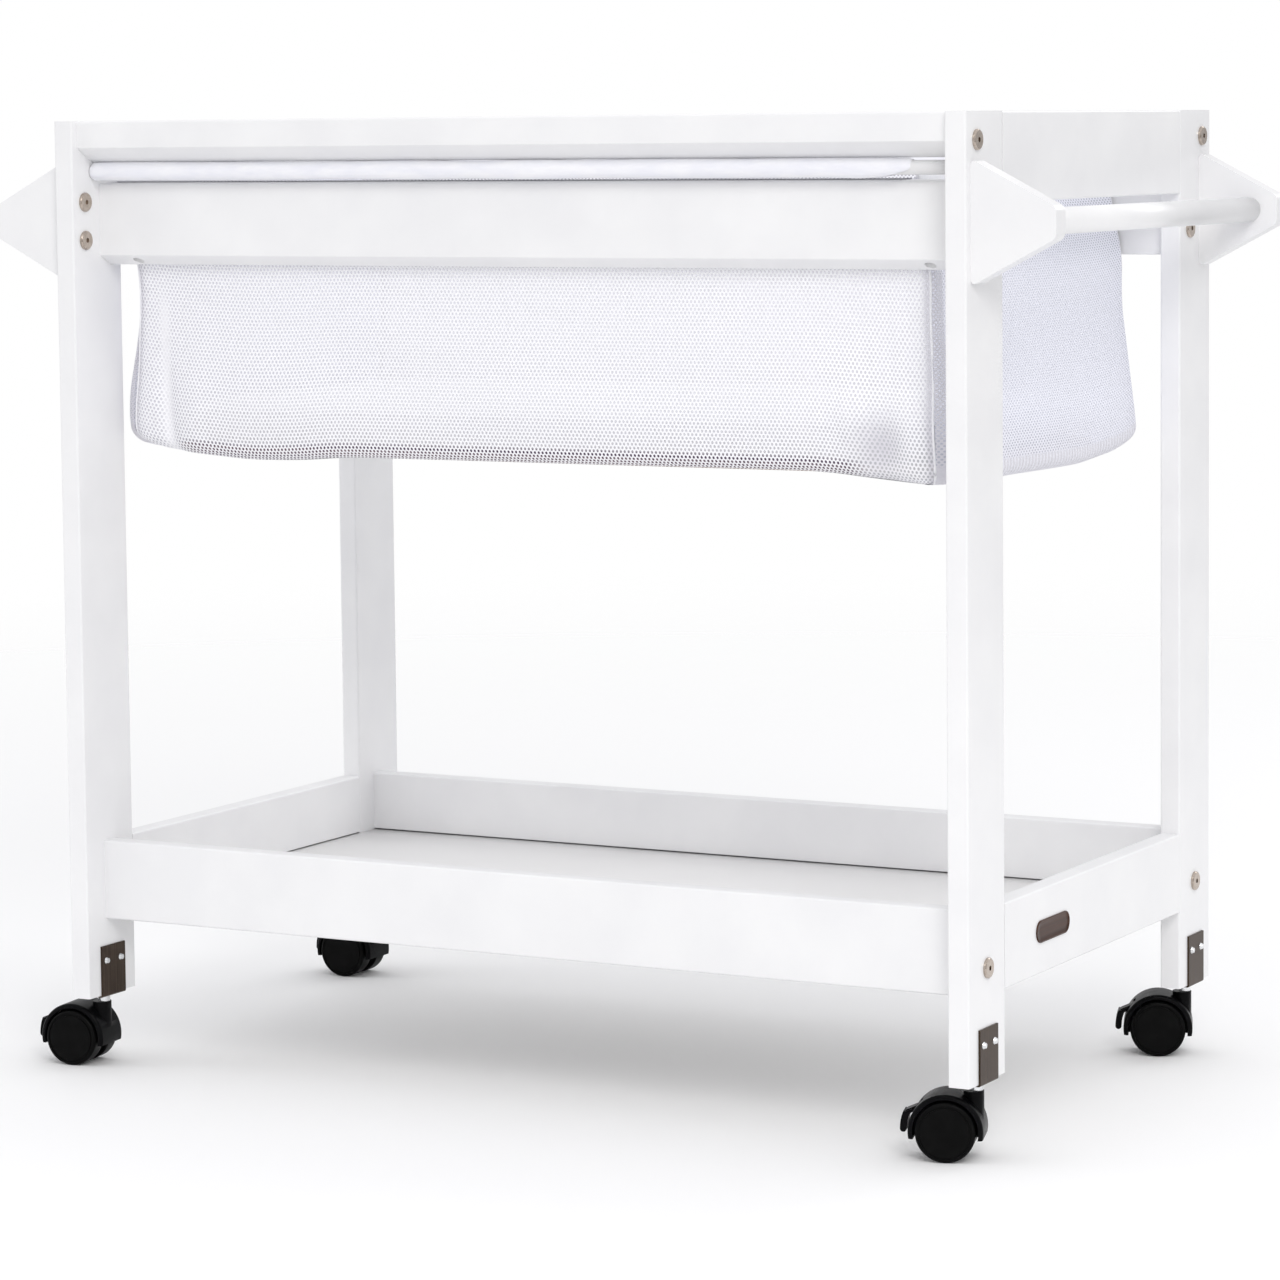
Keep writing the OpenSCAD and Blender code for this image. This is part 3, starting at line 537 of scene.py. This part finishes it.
def spacer_mesh(name, thread, shade, pitch=(0.0037, 0.0064), hole=(0.00105, 0.00125), see=0.36, ribs=0.0):
    """Knitted mesh: oval holes on two grids half a step apart, on the cut map. The holes are part
    see-through, because a second knit lies 3 mm behind the first, and threads stand up round them; their
    shade colour is that knit with painted shade.
    The knit colours paint shade into the holes and onto the threads, deepen it in the hem's rib grooves and
    close the knit, with ribs in the hem."""
    # Dark purple painted into the holes as shade along the bend.
    painted_hole_shade_colour = (0.13, 0.09, 0.15)
    # Grey painted onto the threads as shade at the corners and in the fold.
    painted_thread_shade_colour = (0.67, 0.66, 0.71)
    hole_rim = (0.80, 1.20)
    # How much painted shade the grooves between the hem's ribs get.
    painted_groove_shade = 0.26 * ribs
    made = finish(name, thread, 0.72, specular=0.3, sheen=0.25)
    tree = made.node_tree
    shader = tree.nodes["Principled BSDF"]
    cut = tree.nodes.new("ShaderNodeUVMap")
    cut.uv_map = "cut"
    knit = tree.nodes.new("ShaderNodeAttribute")
    knit.attribute_name = "knit"
    fields = tree.nodes.new("ShaderNodeSeparateColor")
    tree.links.new(knit.outputs["Color"], fields.inputs["Color"])
    near = []
    for step in (0.0, 0.5):
        scaled = tree.nodes.new("ShaderNodeVectorMath")
        scaled.operation = "MULTIPLY_ADD"
        scaled.inputs[1].default_value = (1 / pitch[0], 1 / pitch[1], 0)
        scaled.inputs[2].default_value = (step, step, 0)
        part = tree.nodes.new("ShaderNodeVectorMath")
        part.operation = "FRACTION"
        mid = tree.nodes.new("ShaderNodeVectorMath")
        mid.operation = "SUBTRACT"
        mid.inputs[1].default_value = (0.5, 0.5, 0)
        oval = tree.nodes.new("ShaderNodeVectorMath")
        oval.operation = "MULTIPLY"
        oval.inputs[1].default_value = (pitch[0] / hole[0], pitch[1] / hole[1], 0)
        size = tree.nodes.new("ShaderNodeVectorMath")
        size.operation = "LENGTH"
        tree.links.new(cut.outputs["UV"], scaled.inputs[0])
        tree.links.new(scaled.outputs[0], part.inputs[0])
        tree.links.new(part.outputs[0], mid.inputs[0])
        tree.links.new(mid.outputs[0], oval.inputs[0])
        tree.links.new(oval.outputs[0], size.inputs[0])
        near.append(size.outputs["Value"])
    least = tree.nodes.new("ShaderNodeMath")
    least.operation = "MINIMUM"
    tree.links.new(near[0], least.inputs[0])
    tree.links.new(near[1], least.inputs[1])
    cloth = tree.nodes.new("ShaderNodeMapRange")
    cloth.interpolation_type = "SMOOTHSTEP"
    cloth.inputs["From Min"].default_value, cloth.inputs["From Max"].default_value = hole_rim
    tree.links.new(least.outputs[0], cloth.inputs["Value"])
    whole = tree.nodes.new("ShaderNodeMath")
    whole.operation = "MAXIMUM"
    tree.links.new(cloth.outputs["Result"], whole.inputs[0])
    tree.links.new(fields.outputs["Blue"], whole.inputs[1])
    mixes = []
    # Each plain colour beside the painted shade colour that the knit fields mix in.
    for plain, painted_shade_colour in ((shade, painted_hole_shade_colour), (thread, painted_thread_shade_colour)):
        mix = tree.nodes.new("ShaderNodeMix")
        mix.data_type = "RGBA"
        mix.inputs["A"].default_value = (*plain, 1)
        mix.inputs["B"].default_value = (*painted_shade_colour, 1)
        mixes.append(mix)
    tree.links.new(fields.outputs["Red"], mixes[0].inputs["Factor"])
    tint = tree.nodes.new("ShaderNodeMix")
    tint.data_type = "RGBA"
    tree.links.new(mixes[0].outputs["Result"], tint.inputs["A"])
    tree.links.new(mixes[1].outputs["Result"], tint.inputs["B"])
    tree.links.new(whole.outputs["Value"], tint.inputs["Factor"])
    tree.links.new(tint.outputs["Result"], shader.inputs["Base Color"])
    solid = tree.nodes.new("ShaderNodeMapRange")
    solid.inputs["To Min"].default_value = 1 - see
    solid.inputs["To Max"].default_value = 1.0
    tree.links.new(whole.outputs["Value"], solid.inputs["Value"])
    tree.links.new(solid.outputs["Result"], shader.inputs["Alpha"])
    wale = tree.nodes.new("ShaderNodeTexWave")
    wale.inputs["Scale"].default_value = 52
    # Painted shade in the grooves between the hem's ribs, added to the painted thread shade.
    groove_shade = tree.nodes.new("ShaderNodeMapRange")
    groove_shade.inputs["To Min"].default_value = painted_groove_shade
    groove_shade.inputs["To Max"].default_value = 0.0
    thread_shade_amount = tree.nodes.new("ShaderNodeMath")
    thread_shade_amount.operation = "MULTIPLY_ADD"
    thread_shade_amount.use_clamp = True
    tree.links.new(wale.outputs["Fac"], groove_shade.inputs["Value"])
    tree.links.new(groove_shade.outputs["Result"], thread_shade_amount.inputs[0])
    tree.links.new(fields.outputs["Blue"], thread_shade_amount.inputs[1])
    tree.links.new(fields.outputs["Green"], thread_shade_amount.inputs[2])
    tree.links.new(thread_shade_amount.outputs["Value"], mixes[1].inputs["Factor"])
    ridge = tree.nodes.new("ShaderNodeMath")
    ridge.operation = "MULTIPLY"
    ridge.inputs[1].default_value = ribs
    height_of = tree.nodes.new("ShaderNodeMath")
    height_of.operation = "MULTIPLY_ADD"
    tree.links.new(cut.outputs["UV"], wale.inputs["Vector"])
    tree.links.new(wale.outputs["Fac"], ridge.inputs[0])
    tree.links.new(ridge.outputs["Value"], height_of.inputs[0])
    tree.links.new(fields.outputs["Blue"], height_of.inputs[1])
    tree.links.new(cloth.outputs["Result"], height_of.inputs[2])
    lift = tree.nodes.new("ShaderNodeBump")
    lift.inputs["Strength"].default_value = 0.3
    lift.inputs["Distance"].default_value = 0.0006
    tree.links.new(height_of.outputs["Value"], lift.inputs["Height"])
    tree.links.new(lift.outputs["Normal"], shader.inputs["Normal"])
    return made


def away_from_middle(p):
    """The direction from a point inside the basket to each point."""
    return p - np.array([-0.007, middle_y, 0.68])


knit_long = spacer_mesh("white_spacer_mesh", (0.92, 0.92, 0.95), (0.70, 0.70, 0.76))
# The end panels' knit has its own pitch and ribbed hem; its thread and hole colours are painted darker and
# bluer as shade on the side faces.
end_knit_with_painted_shade = spacer_mesh(
    "white_spacer_mesh_ends_painted_shade", (0.88, 0.89, 0.97), (0.72, 0.74, 0.86),
    pitch=(0.0052, 0.0044), hole=(0.0013, 0.0008), see=0.35, ribs=2.5,
)
seam_white = vary(
    finish("seam_tape", (0.90, 0.90, 0.93), 0.7, sheen=0.2),
    260, ((0.86, 0.86, 0.90), (0.93, 0.93, 0.95)), (0.6, 0.8),
    relief=0.4, depth=0.0004, fine=6,
)


def tube(name, path, radius, made, around, flat=(1.0, 1.0)):
    """A round or oval tube carried along a path: at each point two directions square to the path
    carry a circle of the radius, flattened by two factors, and both ends are closed flat."""
    ahead = np.gradient(path, axis=0)
    ahead /= np.linalg.norm(ahead, axis=1, keepdims=True)
    up = np.where(np.abs(ahead[:, 2:]) > 0.9, [[1.0, 0, 0]], [[0, 0, 1.0]])
    one = np.cross(up, ahead)
    one /= np.linalg.norm(one, axis=1, keepdims=True)
    two = np.cross(ahead, one)
    t = np.linspace(0, 2 * np.pi, around, endpoint=False)
    ring = one[:, None] * (np.cos(t) * flat[0])[:, None] + two[:, None] * (np.sin(t) * flat[1])[:, None]
    points = (path[:, None] + ring * radius).reshape(-1, 3)
    return piece_from(name, points, ring_faces(len(path), around), made)


sheets = {}
grids = {}
for panel in ("front", "back", "right", "left"):
    long_side = panel in long_sides
    x, y, z = long_panel(panel) if long_side else end_panel(panel)
    knit = knit_long if long_side else end_knit_with_painted_shade
    sheets[panel] = sheet_mesh("basket_" + panel, x, y, z, knit, away_from_middle, knit_and_shade_marks(panel, z))
    grids[panel] = np.stack([x, y, z], -1)
    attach(sheets[panel], "stand")

# The four upright seams are bound in white tape, and each end panel has a bound top edge.
seam_r = 0.0010
binding_r = 0.0034
bindings = {"front": [], "back": [], "right": [], "left": []}
for panel in long_sides:
    for side, column in (("left", 0), ("right", -1)):
        line = grids[panel][10:-6:2, column]
        bindings[panel].append(tube("seam_" + side + "_" + panel, line, seam_r, seam_white, 8))
for panel in ("right", "left"):
    line = grids[panel][0, 4:-4:2]
    bindings[panel].append(tube("top_binding_" + panel, line, binding_r, seam_white, 12, (0.42, 1.0)))
for panel in ("front", "back", "right", "left"):
    for strip in bindings[panel]:
        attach(strip, "stand")


def bottom_surface(n=150, m=96):
    """The bottom panel over s and t (-1 to 1 along and across): flat under the base board, and
    running to each side panel's lowest line along a Gaussian of the distance to its edge."""
    s, t = np.meshgrid(np.linspace(-1, 1, n), np.linspace(-1, 1, m))
    corner_level, soft_run, half_long = 0.565, 0.028, 0.40
    flat_level = board_under - 0.0009
    at = np.full_like(s, corner_level)
    left = corner_x(-1, False, at) + wrap_r + 0.003
    right = corner_x(1, False, at) * (1 - t) / 2 + corner_x(1, True, at) * (1 + t) / 2 - wrap_r
    x = (left + right) / 2 + s * (right - left) / 2
    y = t * (half_deep - wrap_r)
    pull = np.exp(-(((1 - np.abs(t)) * half_deep / soft_run) ** 2))
    pull_end = np.exp(-(((1 - np.abs(s)) * half_long / soft_run) ** 2))
    long_low = np.where(t < 0, edge_height("front", s), edge_height("back", s))
    end_low = np.where(s < 0, edge_height("left", t), edge_height("right", t))
    z = flat_level + (long_low - flat_level) * pull + (end_low - flat_level) * pull_end * (1 - pull)
    return x, y + middle_y, z


def downwards(p):
    """The same direction, straight down, for every point."""
    return np.array([0, 0, -1.0])


x, y, z = bottom_surface()
plain_knit = np.zeros((*x.shape, 4))
sheets["bottom"] = sheet_mesh("basket_bottom", x, y, z, knit_long, downwards, plain_knit)
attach(sheets["bottom"], "stand")

sleeve_cloth = vary(
    finish("sleeve_satin", (0.90, 0.90, 0.945), 0.55, sheen=0.35, specular=0.4),
    60, ((0.86, 0.865, 0.925), (0.925, 0.925, 0.955)), (0.45, 0.65),
    stretch=(0.6, 2, 2), relief=0.35, depth=0.0008, fine=5,
)


def sleeve_surface(back, count=260, around=40):
    """A loose tube of cloth round a rod: radius 8 mm with slow waves along it and a drooping
    underside, drawn in to the rod at both ends and cut on a slant at the right one, where the
    end comes 24 mm sooner below than above."""
    snug, loose, droop, slant = rod_r + 0.0004, 0.0080, 0.0012, 0.024
    u = np.linspace(0, 1, count)[:, None]
    t = np.linspace(0, 2 * np.pi, around + 1)[None, :]
    under = np.clip(-np.sin(t), 0, 1) ** 2
    x0, x1 = -end_stop, 0.3825 - slant * under
    x = x0 + (x1 - x0) * u
    left_end = np.sqrt(1 - (1 - np.clip((x - x0) / 0.005, 0, 1)) ** 2)
    right_end = np.clip((x1 - x) / 0.004, 0, 1) ** 0.5
    full = np.minimum(left_end, right_end)
    r = snug + (loose - snug) * full
    r = r + 0.00035 * np.sin(34 * x + 2 * np.sin(11 * x)) * full
    r = r * (1 + 0.02 * np.sin(3 * t + 25 * x))
    r = r + droop * under * np.exp(-(((x - 0.335) / 0.022) ** 2)) * full
    y = (1 if back else -1) * rod_out + r * np.cos(t)
    z = rod_level + r * np.sin(t)
    return x + 0 * t, y + middle_y, z


def away_from_rod(p):
    """The direction square to the nearer rod, from its axis to each point."""
    axis = np.stack([p[:, 0], middle_y + np.sign(p[:, 1] - middle_y) * rod_out, 0 * p[:, 2] + rod_level], -1)
    return p - axis


for name, back in (("sleeve_front", False), ("sleeve_back", True)):
    tube_of_cloth = sheet_mesh(name, *sleeve_surface(back), sleeve_cloth, away_from_rod)
    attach(tube_of_cloth, "stand")

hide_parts("mesh_basket")

# ---- Base board ----
# A stiff sheet of plain hardboard with round corners that keeps the basket's bottom flat.

hardboard = vary(
    finish("hardboard", (0.42, 0.29, 0.19), 0.7),
    70, ((0.36, 0.245, 0.155), (0.48, 0.34, 0.23)), (0.6, 0.8),
    relief=0.3, depth=0.0004, fine=10,
)
dress(["base_board"], hardboard, ease=0.0008)

# ---- Mattress ----
# A foam pad in a white cotton cover with piped edges, blown up a little by simulation
# so that its faces crown and its sides belly, and lying on the base board.

pad_low, pad_high = (np.array(c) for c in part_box("mattress"))
pad_mid = (pad_low + pad_high) / 2
pad_half = (pad_high - pad_low) / 2
pad_corner = 0.060


def rounded_loop(half_x, half_y, radius, count):
    """Points spaced evenly in angle steps round a rectangle whose corners are arcs: each quarter
    of the loop is an arc of the radius about its own corner centre."""
    t = (np.arange(count) + 0.5) * 2 * np.pi / count
    cx = np.sign(np.cos(t)) * (half_x - radius)
    cy = np.sign(np.sin(t)) * (half_y - radius)
    return cx + radius * np.cos(t), cy + radius * np.sin(t)


def pad_surface(half, count=200):
    """Rings of a rounded rectangle, drawn in by an inset and lifted to a height: out along the
    bottom, round a half circle as high as the pad and in along the top to the middle line."""
    hx, hy, hz = half
    side = np.linspace(-np.pi / 2, np.pi / 2, 11)
    flat_in = np.array([hy - 0.003, 0.13, 0.09, 0.055, 0.035])
    insets = np.concatenate([flat_in, hz * (1 - np.cos(side)), flat_in[::-1]])
    lifts = np.concatenate([np.full(5, -hz), hz * np.sin(side), np.full(5, hz)])
    rings = []
    for inset, lift in zip(insets, lifts):
        x, y = rounded_loop(hx - inset, hy - inset, max(pad_corner - inset, 0.0015), count)
        rings.append(np.stack([x, y, 0 * x + lift], -1))
    return np.concatenate(rings) + pad_mid, len(rings), count


cotton = vary(
    finish("white_cotton_cover", (0.88, 0.88, 0.89), 0.85, sheen=0.3, specular=0.25),
    30, ((0.86, 0.86, 0.87), (0.90, 0.90, 0.905)), (0.78, 0.9),
    relief=0.35, depth=0.0006, fine=40,
)
room_to_swell = np.array([0.006, 0.006, 0.004])
points, rings, around = pad_surface(pad_half - room_to_swell)
pad = piece_from("mattress_cover", points, ring_faces(rings, around), cotton)


def blow_up(piece, voxel, cap, pressure=4.0, frames=20):
    """Remeshes a closed pad evenly, lets Cloth press it outwards for some frames without
    gravity, and lets no point end further than the cap from where it began."""
    remesh = piece.modifiers.new("even", "REMESH")
    remesh.mode = "VOXEL"
    remesh.voxel_size = voxel
    with bpy.context.temp_override(object=piece, active_object=piece, selected_objects=[piece]):
        bpy.ops.object.modifier_apply(modifier="even")
    start = np.array([v.co for v in piece.data.vertices])
    cloth = piece.modifiers.new("puff", "CLOTH")
    cloth.settings.use_pressure = True
    cloth.settings.uniform_pressure_force = pressure
    cloth.settings.effector_weights.gravity = 0
    cloth.settings.quality = 4
    cloth.settings.tension_stiffness = 20
    cloth.settings.compression_stiffness = 20
    cloth.collision_settings.use_collision = False
    cloth.point_cache.frame_start = 1
    cloth.point_cache.frame_end = frames
    for step in range(1, frames + 1):
        scene.frame_set(step)
    shown = piece.evaluated_get(bpy.context.evaluated_depsgraph_get())
    moved = np.array([v.co for v in shown.data.vertices])
    piece.modifiers.remove(cloth)
    scene.frame_set(1)
    push = moved - start
    far = np.linalg.norm(push, axis=1, keepdims=True)
    push = push * np.minimum(1, cap / np.maximum(far, 1e-9))
    piece.data.vertices.foreach_set("co", (start + push).astype(np.float32).ravel())
    piece.data.polygons.foreach_set("use_smooth", [True] * len(piece.data.polygons))
    piece.data.update()


blow_up(pad, voxel=0.006, cap=0.006)
skin = np.array([v.co for v in pad.data.vertices])
skin[:, 2] = np.maximum(skin[:, 2], pad_low[2] + 0.0006)
pad.data.vertices.foreach_set("co", skin.astype(np.float32).ravel())
smoother = pad.modifiers.new("smoother", "SUBSURF")
smoother.levels = 1
smoother.render_levels = 1
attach(pad, "mattress_pad")
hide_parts("mattress")


def edge_on_skin(lift, count=360, outside=0.01):
    """A closed line where the pad's side is met at a height: evenly spaced rays start on a rounded
    rectangle a little outside the pad and run in square to it, and five hits are averaged."""
    x, y = rounded_loop(pad_half[0] + outside, pad_half[1] + outside, pad_corner + outside, 240)
    loop = np.stack([np.append(x, x[0]), np.append(y, y[0])], 1)
    run = run_along(loop)
    at = np.linspace(0, run[-1], count, endpoint=False)
    start = np.stack([np.interp(at, run, loop[:, 0]), np.interp(at, run, loop[:, 1])], 1)
    ahead = np.roll(start, -1, 0) - np.roll(start, 1, 0)
    ahead /= np.linalg.norm(ahead, axis=1, keepdims=True)
    inward = np.stack([-ahead[:, 1], ahead[:, 0], 0 * at], 1)
    start = np.column_stack([start, 0 * at + lift]) + pad_mid
    mesh = pad.data
    skin = BVHTree.FromPolygons([v.co for v in mesh.vertices], [p.vertices for p in mesh.polygons])
    reach = 5 * outside
    hits = [skin.ray_cast(Vector(s), Vector(d), reach)[0] or Vector(s) for s, d in zip(start, inward)]
    line = np.mean([np.roll(np.array(hits), k, 0) for k in range(-2, 3)], axis=0)
    return np.concatenate([line, line[:1]])


piping_lift = 0.0105
piping_r = 0.0017
for name, lift in (("mattress_piping_top", piping_lift), ("mattress_piping_bottom", -piping_lift)):
    piping = tube(name, edge_on_skin(lift), piping_r, cotton, 8)
    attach(piping, "mattress_pad")

# ---- Saddles, screws, inserts and stems ----
# A folded strip of dark zinc-plated steel wraps each leg's foot and is held by small
# bright screws; the castor's stem passes through it into a brass insert.

zinc = vary(
    finish("dark_zinc", (0.065, 0.046, 0.034), 0.34, metal=1.0),
    180, ((0.048, 0.033, 0.024), (0.09, 0.066, 0.05)), (0.26, 0.42),
    stretch=(1, 3, 0.06), relief=0.12, depth=0.0003, fine=2,
)
bright = vary(
    finish("bright_steel", (0.78, 0.79, 0.80), 0.2, metal=1.0),
    160, ((0.72, 0.73, 0.74), (0.84, 0.85, 0.86)), (0.14, 0.28),
    relief=0.03, fine=4,
)
brass = vary(
    finish("insert_brass", (0.72, 0.54, 0.26), 0.3, metal=1.0),
    120, ((0.66, 0.49, 0.23), (0.78, 0.60, 0.30)), (0.24, 0.4),
    relief=0.05, fine=4,
)
dress(["saddle_" + c for c in corners], zinc, ease=0.0005)
dress(["saddle_screws"], bright, ease=0.0005)
dress(["stem_" + c for c in corners], bright, ease=0.0004)
dress(["threaded_inserts"], brass)

# ---- Castors ----
# Twin-wheel furniture castors in glossy black nylon: a hood over two wheels on one
# steel axle, and a hooked foot lever at the front that presses on the treads.

black_gloss = vary(
    finish("black_nylon_hood", (0.003, 0.003, 0.0035), 0.3, specular=0.06),
    90, ((0.002, 0.002, 0.0025), (0.004, 0.004, 0.0045)), (0.26, 0.36),
    relief=0.06, depth=0.0003, fine=8,
)
black_wheel = vary(
    finish("black_nylon_wheel", (0.003, 0.003, 0.003), 0.34, specular=0.06),
    90, ((0.002, 0.002, 0.002), (0.004, 0.004, 0.004)), (0.28, 0.42),
    relief=0.08, depth=0.0003, fine=8,
)
dress(["castor_hood_" + c for c in corners], black_gloss, ease=0.0008, limit=40)
dress(["brake_lever_" + c for c in corners], black_gloss, ease=0.0008, limit=40)
wheels = [which + "_wheel_" + c for which in ("inner", "outer") for c in corners]
dress(wheels, black_wheel, ease=0.0005, limit=40)
dress(["axle_" + c for c in corners], bright)
